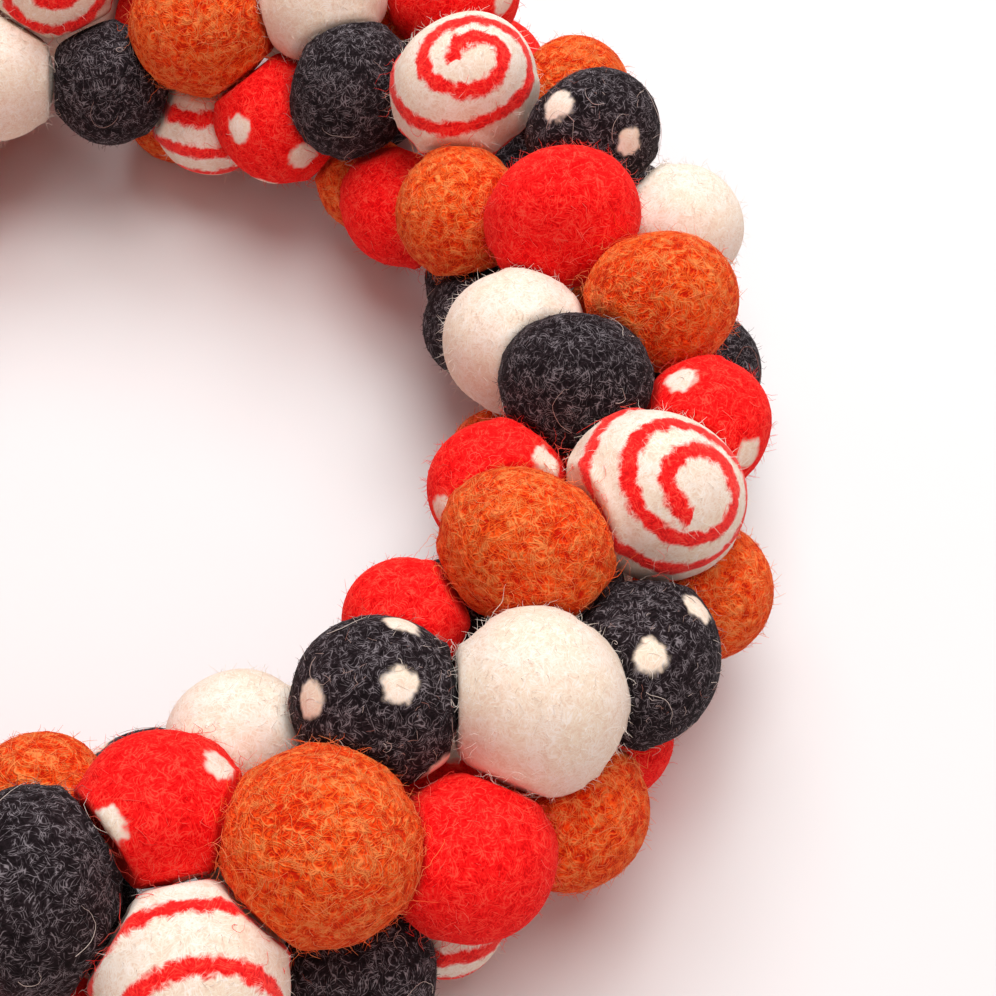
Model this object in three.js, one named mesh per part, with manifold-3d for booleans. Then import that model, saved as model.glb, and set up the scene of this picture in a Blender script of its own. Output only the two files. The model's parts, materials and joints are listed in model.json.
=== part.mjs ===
// Felt pom pom wreath: wet-felted wool balls packed around a ring, lying flat.
// Millimetres, +Z up. The balls stand four to a step around the ring, and every
// second step is turned by half a place, so that each ball sits in a hollow.
import * as THREE from "three";
import { mergeVertices } from "three/addons/utils/BufferGeometryUtils.js";
import Module from "manifold-3d";

const wasm = await Module();
wasm.setup();

// Driving sizes, in millimetres
const RING_RADIUS = 123; // middle of the wreath to the middle of its tube of balls
const TUBE_RADIUS = 26; // middle of the tube to the balls' centres
const TUBE_HEIGHT = 38.4; // middle of the tube above the table
const SIZE_SPREAD = 2; // how far a ruled ball's diameter may leave that of its place
const GAP = 0.3; // between two balls that press on each other
const GLUE_RADIUS = 3; // spot that holds two balls of one joined group together
const GLUE_SIDES = 4;
const FLATTENED = 1.6; // most that the wreath's weight takes off a ball at the table
const TABLE_WIDTH = 1000;
const TABLE_THICKNESS = 50;
const MERGE_DISTANCE = 1e-5; // vertices closer than this are one

// The steps around the ring, in degrees from +X towards +Y
const STEPS = 32;
const FIRST_STEP = -8; // on the near side
const TURN_OF_STEP_0 = 5.5;
const STEP_TURN = 360 / STEPS;

// Places of a step's four balls around the tube, in degrees, and a usual ball's diameter
// there: 0 is the ring's outside, 90 its top, 180 its inside. Steps take turns.
const PLACES = {
  odd: {
    outer: { round: 22, size: 35 },
    crest: { round: 105, size: 34 },
    inner: { round: 190, size: 31 },
    base: { round: 297, size: 34 },
  },
  even: {
    side: { round: 345, size: 35 },
    top: { round: 62, size: 35 },
    throat: { round: 150, size: 31 },
    under: { round: 240, size: 33 },
  },
};
const TURN_WOBBLE = 1.6; // degrees
const ROUND_WOBBLE = 6; // degrees
const SQUASH_WOBBLE = 6; // percent

// Balls that are pushed together closer than SQUEEZED of their radii slide apart,
// and balls nearer than NEIGHBOUR of their radii count as touching
const SQUEEZED = 0.9;
const NEIGHBOUR = 1.12;
const SETTLE_ROUNDS = 60;
const PUSHED_BACK = 0.5; // share of a squeeze that one round takes away

// Felts: colour, and how much of the wreath each one makes up
const FELTS = {
  orange: { colour: 0xd9601f, share: 12 },
  black: { colour: 0x1d1b1f, share: 7 },
  white: { colour: 0xeee5d4, share: 6 },
  swirl: { colour: 0xf0c9bd, share: 6 },
  red: { colour: 0xe4251f, share: 5 },
  red_dotted: { colour: 0xd8352c, share: 5 },
  black_dotted: { colour: 0x2c2a2f, share: 3 },
};
const CHANCE = 0.8; // how far chance may move a felt's turn, in shares
const TAKEN = 32; // what a felt's turn is put back by where a touching ball has it, in shares
const FELT_ROUGHNESS = 0.95;

// The balls that are placed one by one, from the far side round to the near one. All but
// ten can be told apart from above. Those ten are low down and hidden under the others:
// step 9 inner, steps 5 and 3 base, step 2 side and under, steps 0, -2 and -8 under, and
// steps -3 and -5 inner.
// step and place say which place of the rule a ball takes, turn and round (degrees)
// where it is, size its diameter, and squash by how many percent its neighbours in
// the ring have shortened it. Every other ball is a ruled one.
const PLACED_COLUMNS = ["step", "place", "turn", "round", "size", "squash", "felt"];
const PLACED = [
  [9, "inner", 117, 193, 30, 0, "red"],
  [8, "throat", 106, 165, 31, 0, "white"],
  [7, "crest", 95.5, 112, 31, 0, "swirl"],
  [7, "inner", 89.5, 176, 30, 4, "black"],
  [8, "under", 83, 247, 27, 0, "orange"],
  [6, "throat", 75.5, 135, 35, 0, "orange"],
  [6, "under", 76, 206, 27, 0, "swirl"],
  [5, "crest", 61.5, 105, 31, 2, "white"],
  [5, "inner", 63, 180, 31, 0, "red_dotted"],
  [5, "base", 62.5, 299, 35, 1, "black"],
  [4, "throat", 52, 141, 31, 12, "black"],
  [4, "top", 52, 43, 33, 4, "red_dotted"],
  [4, "under", 50.5, 216, 25, -3, "orange"],
  [3, "crest", 39, 105, 34, 10, "swirl"],
  [3, "outer", 38, 8, 28, 0, "orange"],
  [3, "inner", 41, 197, 29, -8, "red"],
  [3, "base", 39, 300, 35, -3, "black"],
  [2, "top", 26.5, 65, 30, 15, "black_dotted"],
  [2, "throat", 27, 151, 30, 2, "orange"],
  [2, "side", 27, 328, 30, 0, "black"],
  [2, "under", 28, 231, 28, -3, "black"],
  [1, "crest", 16.5, 103, 33, 12, "red"],
  [1, "outer", 17.5, 21, 29, 0, "white"],
  [1, "inner", 16.5, 194, 27, 0, "black"],
  [0, "top", 4.5, 65, 32, 12, "orange"],
  [0, "throat", 3.5, 144, 32, 2, "white"],
  [0, "side", 6.5, 338, 28, -3, "black"],
  [0, "under", 5.5, 244, 33, -5, "red"],
  [-1, "crest", -6, 108, 31, 8, "black"],
  [-1, "outer", -6.5, 38, 28, -2, "red_dotted"],
  [-1, "inner", -5, 205, 25, 0, "orange"],
  [-2, "top", -16.5, 61, 36, 8, "swirl"],
  [-2, "throat", -19, 139, 29, 0, "red_dotted"],
  [-2, "side", -18.5, 357, 30, 0, "orange"],
  [-2, "under", -15.5, 245, 35, 5, "black"],
  [-3, "crest", -27, 105, 34, 12, "orange"],
  [-3, "outer", -29.5, 28, 32, -10, "black_dotted"],
  [-3, "inner", -28, 212, 28, 0, "black"],
  [-3, "base", -31, 314, 29, 0, "red"],
  [-4, "top", -39, 61, 36, 2, "white"],
  [-4, "throat", -38.5, 147, 25, -2, "red"],
  [-4, "side", -41, 354, 31, -3, "orange"],
  [-5, "crest", -49, 109, 33, 2, "black_dotted"],
  [-5, "outer", -50.5, 25, 32, 0, "red"],
  [-5, "inner", -50, 212, 28, 0, "orange"],
  [-5, "base", -52.5, 316, 27, 0, "swirl"],
  [-6, "top", -60.5, 67, 37, 3, "orange"],
  [-6, "throat", -62, 154, 27, -6, "white"],
  [-6, "side", -61.5, 344, 31, 0, "black"],
  [-7, "crest", -72, 109, 30, -4, "red_dotted"],
  [-7, "outer", -73, 33, 38, 5, "swirl"],
  [-8, "top", -83.5, 82, 36, 15, "black"],
  [-8, "throat", -84.5, 152, 24, -8, "orange"],
  [-8, "under", -85, 246, 32, 4, "black"],
];

// Balls of the underside and ruled ones that touch are joined into groups, each one solid
const UNDERSIDE = ["under", "base"];
const MOST_IN_GROUP = 7;

const FINE_BALL = 2; // subdivision of a placed ball that isn't low down
const PLAIN_BALL = 1; // subdivision of a ball in a joined group or low down
const LOW_PLACES = ["inner", "under", "base", "side"];

const radians = THREE.MathUtils.degToRad;

// A repeatable number between -1 and 1 for a place, different for each kind of use
const WOBBLE_MIX = { step: 12.9898, place: 78.233, use: 37.719, spread: 4375.85 };
const USE = { turn: 1, round: 2, size: 3, squash: 4, felt: 5 };
function wobble(step, place, use) {
  const angle = step * WOBBLE_MIX.step + place * WOBBLE_MIX.place + use * WOBBLE_MIX.use;
  const number = Math.sin(angle) * WOBBLE_MIX.spread;
  return 2 * (number - Math.floor(number)) - 1;
}

// The point of the tube at a turn around the ring and a turn around the tube
function pointOnTube(turn, round) {
  const reach = RING_RADIUS + TUBE_RADIUS * Math.cos(round);
  const height = TUBE_HEIGHT + TUBE_RADIUS * Math.sin(round);
  return new THREE.Vector3(reach * Math.cos(turn), reach * Math.sin(turn), height);
}

function backOntoTube(point) {
  const turn = Math.atan2(point.y, point.x);
  const reach = Math.hypot(point.x, point.y) - RING_RADIUS;
  return pointOnTube(turn, Math.atan2(point.z - TUBE_HEIGHT, reach));
}

// The table carries a ball, and flattens it a little
function ontoTable(ball) {
  ball.centre.z = Math.max(ball.centre.z, ball.radius - FLATTENED);
}

function placedBall(row) {
  const entry = Object.fromEntries(PLACED_COLUMNS.map((column, i) => [column, row[i]]));
  const centre = pointOnTube(radians(entry.turn), radians(entry.round));
  const { step, place, squash, felt } = entry;
  return { step, place, felt, centre, radius: entry.size / 2, squash: squash / 100, placed: true };
}

function ruledBall(step, place, index, usual) {
  const usualTurn = TURN_OF_STEP_0 + STEP_TURN * step;
  const turn = usualTurn + TURN_WOBBLE * wobble(step, index, USE.turn);
  const round = usual.round + ROUND_WOBBLE * wobble(step, index, USE.round);
  const size = usual.size + SIZE_SPREAD * wobble(step, index, USE.size);
  const centre = pointOnTube(radians(turn), radians(round));
  const squash = (SQUASH_WOBBLE / 100) * wobble(step, index, USE.squash);
  return { step, place, felt: null, centre, radius: size / 2, squash, placed: false };
}

// Every place of the rule, with the placed ball where there is one
function layOut() {
  const placed = PLACED.map(placedBall);
  const balls = [];
  for (let step = FIRST_STEP; step < FIRST_STEP + STEPS; step++) {
    const places = Object.entries(step % 2 === 0 ? PLACES.even : PLACES.odd);
    places.forEach(([place, usual], index) => {
      const known = placed.find((ball) => ball.step === step && ball.place === place);
      balls.push(known ?? ruledBall(step, place, index, usual));
    });
  }
  return balls;
}

// Ruled balls slide over the tube until none is squeezed more than felt allows
function settle(balls) {
  for (let turn = 0; turn < SETTLE_ROUNDS; turn++) {
    for (const ball of balls.filter((one) => !one.placed)) {
      const push = new THREE.Vector3();
      for (const other of balls) {
        if (other === ball) continue;
        const away = ball.centre.clone().sub(other.centre);
        const squeeze = SQUEEZED * (ball.radius + other.radius) - away.length();
        if (squeeze > 0) push.addScaledVector(away.normalize(), squeeze * PUSHED_BACK);
      }
      ball.centre = backOntoTube(ball.centre.add(push));
      ontoTable(ball);
    }
  }
}

// A ruled ball takes a felt that doesn't touch it yet, with some chance the one
// that is furthest behind its share
function chooseFelts(balls) {
  const felts = Object.keys(FELTS);
  const used = Object.fromEntries(felts.map((felt) => [felt, 0]));
  balls.filter((ball) => ball.placed).forEach((ball) => (used[ball.felt] += 1));
  balls.forEach((ball, index) => {
    if (ball.placed) return;
    const near = balls.filter((other) => other !== ball && touches(ball, other));
    const taken = near.map((other) => other.felt);
    const wait = (felt) => {
      const chance = CHANCE * wobble(index, felts.indexOf(felt), USE.felt);
      return used[felt] / FELTS[felt].share + chance + (taken.includes(felt) ? TAKEN : 0);
    };
    ball.felt = felts.reduce((a, b) => (wait(a) <= wait(b) ? a : b));
    used[ball.felt] += 1;
  });
}

function touches(ball, other) {
  return ball.centre.distanceTo(other.centre) < NEIGHBOUR * (ball.radius + other.radius);
}

// Each placed ball above the underside stands alone. The rest are gathered, in the order
// of their steps, into groups that touch.
function gather(balls) {
  const alone = (ball) => ball.placed && !UNDERSIDE.includes(ball.place);
  const groups = balls.filter(alone).map((ball) => [ball]);
  const waiting = balls.filter((ball) => !alone(ball));
  while (waiting.length > 0) {
    const group = [waiting.shift()];
    while (group.length < MOST_IN_GROUP) {
      const next = waiting.find((ball) => group.some((member) => touches(member, ball)));
      if (!next) break;
      group.push(next);
      waiting.splice(waiting.indexOf(next), 1);
    }
    groups.push(group);
  }
  return groups;
}

// The flat faces where a ball presses on its neighbours: direction and distance
function contactFaces(ball, balls) {
  const faces = [];
  for (const other of balls) {
    if (other === ball || !touches(ball, other)) continue;
    const away = other.centre.clone().sub(ball.centre);
    const distance = away.length();
    const difference = ball.radius ** 2 - other.radius ** 2;
    const middle = (distance ** 2 + difference) / (2 * distance);
    faces.push({ direction: away.normalize(), distance: middle - GAP / 2 });
  }
  return faces;
}

function solidOf(geometry) {
  geometry.deleteAttribute("normal");
  geometry.deleteAttribute("uv");
  const merged = mergeVertices(geometry, MERGE_DISTANCE);
  return new wasm.Manifold(new wasm.Mesh({
    numProp: 3,
    vertProperties: new Float32Array(merged.attributes.position.array),
    triVerts: new Uint32Array(merged.index.array),
  }));
}

function geometryOf(solid) {
  const mesh = solid.getMesh();
  const geometry = new THREE.BufferGeometry();
  geometry.setAttribute("position", new THREE.BufferAttribute(mesh.vertProperties, 3));
  geometry.setIndex(new THREE.BufferAttribute(mesh.triVerts, 1));
  geometry.computeVertexNormals();
  return geometry;
}

// How far a ball reaches in a direction: it is a little shorter along the ring,
// and longer across it, or the other way round
function freeReach(ball, direction) {
  const along = new THREE.Vector3(-ball.centre.y, ball.centre.x, 0).normalize();
  const lean = direction.dot(along) ** 2;
  const short = (1 - ball.squash) ** 2;
  const long = (1 + ball.squash / 2) ** 2;
  return ball.radius / Math.sqrt(lean / short + (1 - lean) / long);
}

// One felt ball, flattened where it presses on others
function ballSolid(ball, balls, detail) {
  const faces = contactFaces(ball, balls);
  const geometry = new THREE.IcosahedronGeometry(1, detail);
  const position = geometry.attributes.position;
  const point = new THREE.Vector3();
  for (let i = 0; i < position.count; i++) {
    point.fromBufferAttribute(position, i).normalize();
    let reach = freeReach(ball, point);
    for (const face of faces) {
      const lean = point.dot(face.direction);
      if (lean > 0) reach = Math.min(reach, face.distance / lean);
    }
    point.multiplyScalar(reach).add(ball.centre);
    position.setXYZ(i, point.x, point.y, point.z);
  }
  return solidOf(geometry);
}

// The spot of glue between two balls of one group
function glueSolid(ball, other) {
  const away = other.centre.clone().sub(ball.centre);
  const length = away.length();
  const geometry = new THREE.CylinderGeometry(GLUE_RADIUS, GLUE_RADIUS, length, GLUE_SIDES);
  const up = new THREE.Vector3(0, 1, 0);
  const turned = new THREE.Quaternion().setFromUnitVectors(up, away.clone().normalize());
  geometry.applyQuaternion(turned);
  const middle = ball.centre.clone().addScaledVector(away, 0.5);
  geometry.translate(middle.x, middle.y, middle.z);
  return solidOf(geometry);
}

function tableSolid() {
  const geometry = new THREE.BoxGeometry(TABLE_WIDTH, TABLE_WIDTH, TABLE_THICKNESS);
  geometry.translate(0, 0, -TABLE_THICKNESS / 2);
  return solidOf(geometry);
}

// A group of balls as one solid: each ball in turn is glued to the nearest one before it
function groupSolid(group, balls, table) {
  const shows = group.length === 1 && !LOW_PLACES.includes(group[0].place);
  const detail = shows ? FINE_BALL : PLAIN_BALL;
  let solid = ballSolid(group[0], balls, detail);
  for (let i = 1; i < group.length; i++) {
    const before = group.slice(0, i);
    const closeness = (other) => group[i].centre.distanceTo(other.centre) - other.radius;
    const nearest = before.reduce((a, b) => (closeness(a) <= closeness(b) ? a : b));
    solid = solid.add(ballSolid(group[i], balls, detail));
    solid = solid.add(glueSolid(group[i], nearest));
  }
  return solid.subtract(table);
}

// Vertices of a joined group take the colour of the ball that they lie on
function colourByBall(geometry, group) {
  const position = geometry.attributes.position;
  const colours = new Float32Array(position.count * 3);
  const point = new THREE.Vector3();
  for (let i = 0; i < position.count; i++) {
    point.fromBufferAttribute(position, i);
    const inside = (ball) => point.distanceTo(ball.centre) - ball.radius;
    const nearest = group.reduce((a, b) => (inside(a) <= inside(b) ? a : b));
    new THREE.Color(FELTS[nearest.felt].colour).toArray(colours, i * 3);
  }
  geometry.setAttribute("color", new THREE.BufferAttribute(colours, 3));
}

function groupMesh(group, number, balls, table) {
  const geometry = geometryOf(groupSolid(group, balls, table));
  const material = new THREE.MeshStandardMaterial({ roughness: FELT_ROUGHNESS, metalness: 0 });
  const mesh = new THREE.Mesh(geometry, material);
  const count = String(number).padStart(2, "0");
  if (group.length === 1) {
    material.color.set(FELTS[group[0].felt].colour);
    mesh.name = `ball_${count}_${group[0].felt}`;
  } else {
    material.vertexColors = true;
    colourByBall(geometry, group);
    mesh.name = `balls_${count}_joined`;
  }
  return mesh;
}

function makeWreath() {
  const balls = layOut();
  settle(balls);
  chooseFelts(balls);
  const table = tableSolid();
  const wreath = new THREE.Group();
  gather(balls).forEach((group, i) => wreath.add(groupMesh(group, i + 1, balls, table)));
  // The origin is the middle of the wreath's bounding box, on the table
  const middle = new THREE.Box3().setFromObject(wreath).getCenter(new THREE.Vector3());
  wreath.position.set(-middle.x, -middle.y, 0);
  wreath.updateMatrixWorld(true);
  return wreath;
}

const wreath = makeWreath();

export default wreath;
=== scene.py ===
"""Felt pom pom wreath: 128 wet-felted wool balls packed around a ring, lying flat.

Each ball is a piece of its own, flattened where it presses on its neighbours and on the
table, with needled dots or a needled spiral on some. Wool fibres lie matted on the
balls, stand off them as fuzz and curl loosely out of the creases between them.
"""

import functools
import itertools
import json
import math

import bpy
import numpy as np
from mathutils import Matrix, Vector

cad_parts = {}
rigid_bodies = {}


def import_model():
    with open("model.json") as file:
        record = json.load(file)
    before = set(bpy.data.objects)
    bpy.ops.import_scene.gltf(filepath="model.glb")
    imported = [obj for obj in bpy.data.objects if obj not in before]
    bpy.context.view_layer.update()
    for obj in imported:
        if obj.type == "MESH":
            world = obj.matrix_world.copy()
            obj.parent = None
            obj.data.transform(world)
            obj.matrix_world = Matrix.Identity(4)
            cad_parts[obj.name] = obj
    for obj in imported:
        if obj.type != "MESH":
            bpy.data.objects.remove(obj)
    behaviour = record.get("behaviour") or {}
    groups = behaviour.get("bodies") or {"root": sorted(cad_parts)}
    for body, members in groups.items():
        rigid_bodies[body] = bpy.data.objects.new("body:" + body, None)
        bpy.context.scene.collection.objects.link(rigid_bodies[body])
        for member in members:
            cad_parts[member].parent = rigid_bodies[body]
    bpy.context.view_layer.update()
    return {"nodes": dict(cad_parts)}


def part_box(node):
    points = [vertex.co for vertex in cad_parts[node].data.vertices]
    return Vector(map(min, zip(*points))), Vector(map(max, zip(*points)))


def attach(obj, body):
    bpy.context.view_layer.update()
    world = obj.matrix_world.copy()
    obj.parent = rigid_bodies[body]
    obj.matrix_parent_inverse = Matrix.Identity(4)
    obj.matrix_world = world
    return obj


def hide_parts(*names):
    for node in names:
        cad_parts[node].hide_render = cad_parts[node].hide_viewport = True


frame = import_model()

bl_info = {
    "name": "Felt Pom Pom Wreath",
    "version": (1, 0, 0),
    "blender": (4, 5, 0),
    "location": "View3D > Sidebar > Wreath",
    "description": "Builds a wreath of felted wool balls around its solid frame",
    "category": "Add Mesh",
}

BODY = "root"
MM = 0.001
MATHS, VECTORS = "ShaderNodeMath", "ShaderNodeVectorMath"
MIX, RANGE, NOISE = "ShaderNodeMix", "ShaderNodeMapRange", "ShaderNodeTexNoise"
NAMED, STORE = "GeometryNodeInputNamedAttribute", "GeometryNodeStoreNamedAttribute"

# The ring, in millimetres and degrees: the same rule as the solids follow
RING_RADIUS = 123  # middle of the wreath to the middle of its tube of balls
TUBE_RADIUS = 26  # middle of the tube to the balls' centres
TUBE_HEIGHT = 38.4  # middle of the tube above the table
SIZE_SPREAD = 2
GAP = 0.3
FLATTENED = 1.6  # most that the wreath's weight takes off a ball at the table
STEPS = 32
FIRST_STEP = -8
TURN_OF_STEP_0 = 5.5
STEP_TURN = 360 / STEPS
TURN_WOBBLE = 1.6
ROUND_WOBBLE = 6
SQUASH_WOBBLE = 6  # percent
SQUEEZED = 0.9
NEIGHBOUR = 1.12
SETTLE_ROUNDS = 60
PUSHED_BACK = 0.5
UNDERSIDE = ("under", "base")
MOST_IN_GROUP = 7
SOLID_PARTS = {True: 2, False: 3}  # cuts of an edge of a solid's ball: low down or joined, or not

# Places of a step's four balls around the tube, in degrees, and a usual ball's diameter
PLACES = {
    "odd": {"outer": (22, 35), "crest": (105, 34), "inner": (190, 31), "base": (297, 34)},
    "even": {"side": (345, 35), "top": (62, 35), "throat": (150, 31), "under": (240, 33)},
}
LOW_PLACES = ("inner", "under", "base", "side")

# How much of the wreath each felt makes up
SHARES = {
    "orange": 12,
    "black": 7,
    "white": 6,
    "swirl": 6,
    "red": 5,
    "red_dotted": 5,
    "black_dotted": 3,
}
CHANCE = 0.8
TAKEN = 32

# The balls that are placed one by one: turn and round in degrees, size in millimetres
# and squash in percent. Every other ball is a ruled one.
PLACED_COLUMNS = ("step", "place", "turn", "round", "size", "squash", "felt")
PLACED = [
    (9, "inner", 117, 193, 30, 0, "red"),
    (8, "throat", 106, 165, 31, 0, "white"),
    (7, "crest", 95.5, 112, 31, 0, "swirl"),
    (7, "inner", 89.5, 176, 30, 4, "black"),
    (8, "under", 83, 247, 27, 0, "orange"),
    (6, "throat", 75.5, 135, 35, 0, "orange"),
    (6, "under", 76, 206, 27, 0, "swirl"),
    (5, "crest", 61.5, 105, 31, 2, "white"),
    (5, "inner", 63, 180, 31, 0, "red_dotted"),
    (5, "base", 62.5, 299, 35, 1, "black"),
    (4, "throat", 52, 141, 31, 12, "black"),
    (4, "top", 52, 43, 33, 4, "red_dotted"),
    (4, "under", 50.5, 216, 25, -3, "orange"),
    (3, "crest", 39, 105, 34, 10, "swirl"),
    (3, "outer", 38, 8, 28, 0, "orange"),
    (3, "inner", 41, 197, 29, -8, "red"),
    (3, "base", 39, 300, 35, -3, "black"),
    (2, "top", 26.5, 65, 30, 15, "black_dotted"),
    (2, "throat", 27, 151, 30, 2, "orange"),
    (2, "side", 27, 328, 30, 0, "black"),
    (2, "under", 28, 231, 28, -3, "black"),
    (1, "crest", 16.5, 103, 33, 12, "red"),
    (1, "outer", 17.5, 21, 29, 0, "white"),
    (1, "inner", 16.5, 194, 27, 0, "black"),
    (0, "top", 4.5, 65, 32, 12, "orange"),
    (0, "throat", 3.5, 144, 32, 2, "white"),
    (0, "side", 6.5, 338, 28, -3, "black"),
    (0, "under", 5.5, 244, 33, -5, "red"),
    (-1, "crest", -6, 108, 31, 8, "black"),
    (-1, "outer", -6.5, 38, 28, -2, "red_dotted"),
    (-1, "inner", -5, 205, 25, 0, "orange"),
    (-2, "top", -16.5, 61, 36, 8, "swirl"),
    (-2, "throat", -19, 139, 29, 0, "red_dotted"),
    (-2, "side", -18.5, 357, 30, 0, "orange"),
    (-2, "under", -15.5, 245, 35, 5, "black"),
    (-3, "crest", -27, 105, 34, 12, "orange"),
    (-3, "outer", -29.5, 28, 32, -10, "black_dotted"),
    (-3, "inner", -28, 212, 28, 0, "black"),
    (-3, "base", -31, 314, 29, 0, "red"),
    (-4, "top", -39, 61, 36, 2, "white"),
    (-4, "throat", -38.5, 147, 25, -2, "red"),
    (-4, "side", -41, 354, 31, -3, "orange"),
    (-5, "crest", -49, 109, 33, 2, "black_dotted"),
    (-5, "outer", -50.5, 25, 32, 0, "red"),
    (-5, "inner", -50, 212, 28, 0, "orange"),
    (-5, "base", -52.5, 316, 27, 0, "swirl"),
    (-6, "top", -60.5, 67, 37, 3, "orange"),
    (-6, "throat", -62, 154, 27, -6, "white"),
    (-6, "side", -61.5, 344, 31, 0, "black"),
    (-7, "crest", -72, 109, 30, -4, "red_dotted"),
    (-7, "outer", -73, 33, 38, 5, "swirl"),
    (-8, "top", -83.5, 82, 36, 15, "black"),
    (-8, "throat", -84.5, 152, 24, -8, "orange"),
    (-8, "under", -85, 246, 32, 4, "black"),
]

# Needled dots of placed balls, as (bearing, lift) in degrees from the ball's centre:
# bearing from +X towards +Y, lift above level. A twin sits right opposite each.
DOTS = {
    (5, "inner"): [(-132, 30), (-64, 8)],
    (4, "top"): [(-37, 22)],
    (2, "top"): [(-158, 55), (-48, 29)],
    (-1, "outer"): [(154, 60), (-55, 18)],
    (-2, "throat"): [(-1, 46), (-142, 18)],
    (-3, "outer"): [(-87, 67), (34, 38)],
    (-5, "crest"): [(-41, 66), (-158, 37), (65, 46)],
    (-7, "crest"): [(24, 33), (-129, 48)],
}
DOT_SPACING = 64  # degrees, least between two dots that follow the rule
DOT_CEILING = -10  # degrees, highest lift of a dot that follows the rule on a placed ball
DOT_TRIES = 60

# Spirals of placed balls. The eye is where a stripe winds around: its bearing and lift in
# degrees. The stripe winds clockwise, seen from outside, from a start in degrees clockwise
# from the eye's top, and widens by the pitch in each turn. An uneven one has its reach
# from the eye at each eighth of a turn in place of a first reach.
SPIRAL_COLUMNS = ("bearing", "lift", "start", "width", "pitch", "reaches")
SPIRALS = {
    (7, "crest"): (-69, 33, 110, 3.6, 8.4, [3.8]),
    (6, "under"): (70, 72, 335, 3.6, 8.5, [5.0]),
    (3, "crest"): (-70, 67, 270, 3.8, 8.0, [4.2, 4.6, 4.4, 5.2, 7.2, 6.9, 6.7, 8.0, 11.4, 12.1, 10.0, 10.6,
                                            17.2, 15.9, 14.9, 18.6, 23.6, 26.0]),
    (-2, "top"): (-43, 50, 235, 3.7, 20.0, [6.5, 5.8, 8.1, 8.7, 8.0, 7.6, 8.6, 9.6, 11.0, 12.8, 16.0, 17.4,
                                           13.0, 14.0, 16.5, 18.5, 20.5, 23.0, 26.0]),
    (-5, "base"): (60, 60, 0, 3.6, 8.4, [4.5]),
    (-7, "outer"): (-80, 28, 340, 3.5, 12.0, [4.0]),
}
RULED_SPIRAL = (3.5, 8.4, [4.5])  # its width, pitch and first reach
EIGHTHS = 8
MOST_LAPS = 8
FINE_STEPS = 16  # steps in which an eighth of a turn is smoothed
FAR = 1000  # farther than anything on a ball, mm

# A number for each use of chance
USE = {"turn": 1, "round": 2, "size": 3, "squash": 4, "felt": 5}
WOBBLE_MIX = {"step": 12.9898, "place": 78.233, "use": 37.719, "spread": 4375.85}

# Cuts of an icosahedron's edge for each kind of ball: marks need a finer mesh
BALL_PARTS = {"low": 8, "plain": 10, "dotted": 12, "swirl": 18}
LUMP_WAVES = 9
LUMP_PACES = (1.6, 6.0)  # radians of a wave that a ball's radius takes
SIDEWAYS = 0.05  # a ray that leans less than this towards a flat never meets it
ROUNDER = 0.6  # share of its roundness that the higher one of two pressed balls keeps
TUBE_SHOWS = (22, 27)  # distance from the tube's middle at which fibres start to grow, mm
UNDER_HIDES = (4, 10)  # height above the table at which fibres start to grow, mm
CREASE = (0.4, 3.5)  # distance from a neighbour at which a crease ends, mm
CREASE_FADE = 0.4  # over which fibres fade out towards a crease's depth, mm
MARK_RISE = 0.5  # how far outside its edge a mark starts to stand up, mm
MARK_EDGE = 0.4  # how far from the edge of a dot or stripe its neighbour's fibres stay, mm

# The view: the camera's place in the layout, in millimetres, its tilt in degrees and its
# lens, also in millimetres
CAMERA_PLACE = (98, -260, 404.8)
CAMERA_TILT = 32.7
CAMERA_LENS = 72.3
CAMERA_SENSOR = 36

# The light: soft boxes at bearings and lifts in degrees, and the room's own glow, which
# is warm from the red and orange wool around each ball. Lengths are in millimetres.
SOFTBOXES = {
    "softbox_behind": {"bearing": 90, "lift": 55, "watts": 12.1, "colour": (0.88, 0.975, 1.0)},
    "softbox_above": {"bearing": 0, "lift": 85, "watts": 10.6, "colour": (0.96, 1.0, 0.98)},
    "softbox_front": {"bearing": 270, "lift": 55, "watts": 1.7, "colour": (1.0, 0.98, 0.95)},
}
SOFTBOX_SIZE, SOFTBOX_AWAY = 900, 1400
SOFTBOX_AIM = (100, 0, 30)
FLOOR_REACH = 3.0  # from the middle to an edge of the floor, in metres
MOTTLE_SCALE, MOTTLE_LOW = 6, 0.99  # of the floor: blotches to the metre, and their darkest share
ROOM_GLOW = (1.0, 0.60, 0.55)
ROOM_STRENGTH = 0.34


def linear(hexadecimal):
    """sRGB hex to linear colour"""
    channels = [(hexadecimal >> shift & 255) / 255 for shift in (16, 8, 0)]
    return tuple(c / 12.92 if c <= 0.04045 else ((c + 0.055) / 1.055) ** 2.4 for c in channels)


def solid(colour):
    """A colour with full alpha, for a colour socket"""
    return (*colour[:3], 1.0)


def add(tree, kind, links=(), operation=None, **settings):
    """Adds a node with its settings, and sets or links its inputs. Inputs are given in
    order or by name, counting those that the settings leave. A node stands for its first
    output."""
    node = tree.nodes.new(kind)
    if operation:
        node.operation = operation
    for name, value in settings.items():
        setattr(node, name, value)
    sockets = [socket for socket in node.inputs if socket.enabled]
    named = {socket.name: socket for socket in reversed(sockets)}
    for key, value in links.items() if isinstance(links, dict) else enumerate(links):
        socket = sockets[key] if isinstance(key, int) else named[key]
        if isinstance(value, bpy.types.Node):
            value = next(output for output in value.outputs if output.enabled)
        if isinstance(value, bpy.types.NodeSocket):
            tree.links.new(value, socket)
        else:
            socket.default_value = value
    return node


def adder(owner):
    """Empties the nodes of a material or a world, and gives the function that adds to them"""
    owner.use_nodes = True
    owner.node_tree.nodes.clear()
    return functools.partial(add, owner.node_tree)


# The layout of the balls

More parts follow.
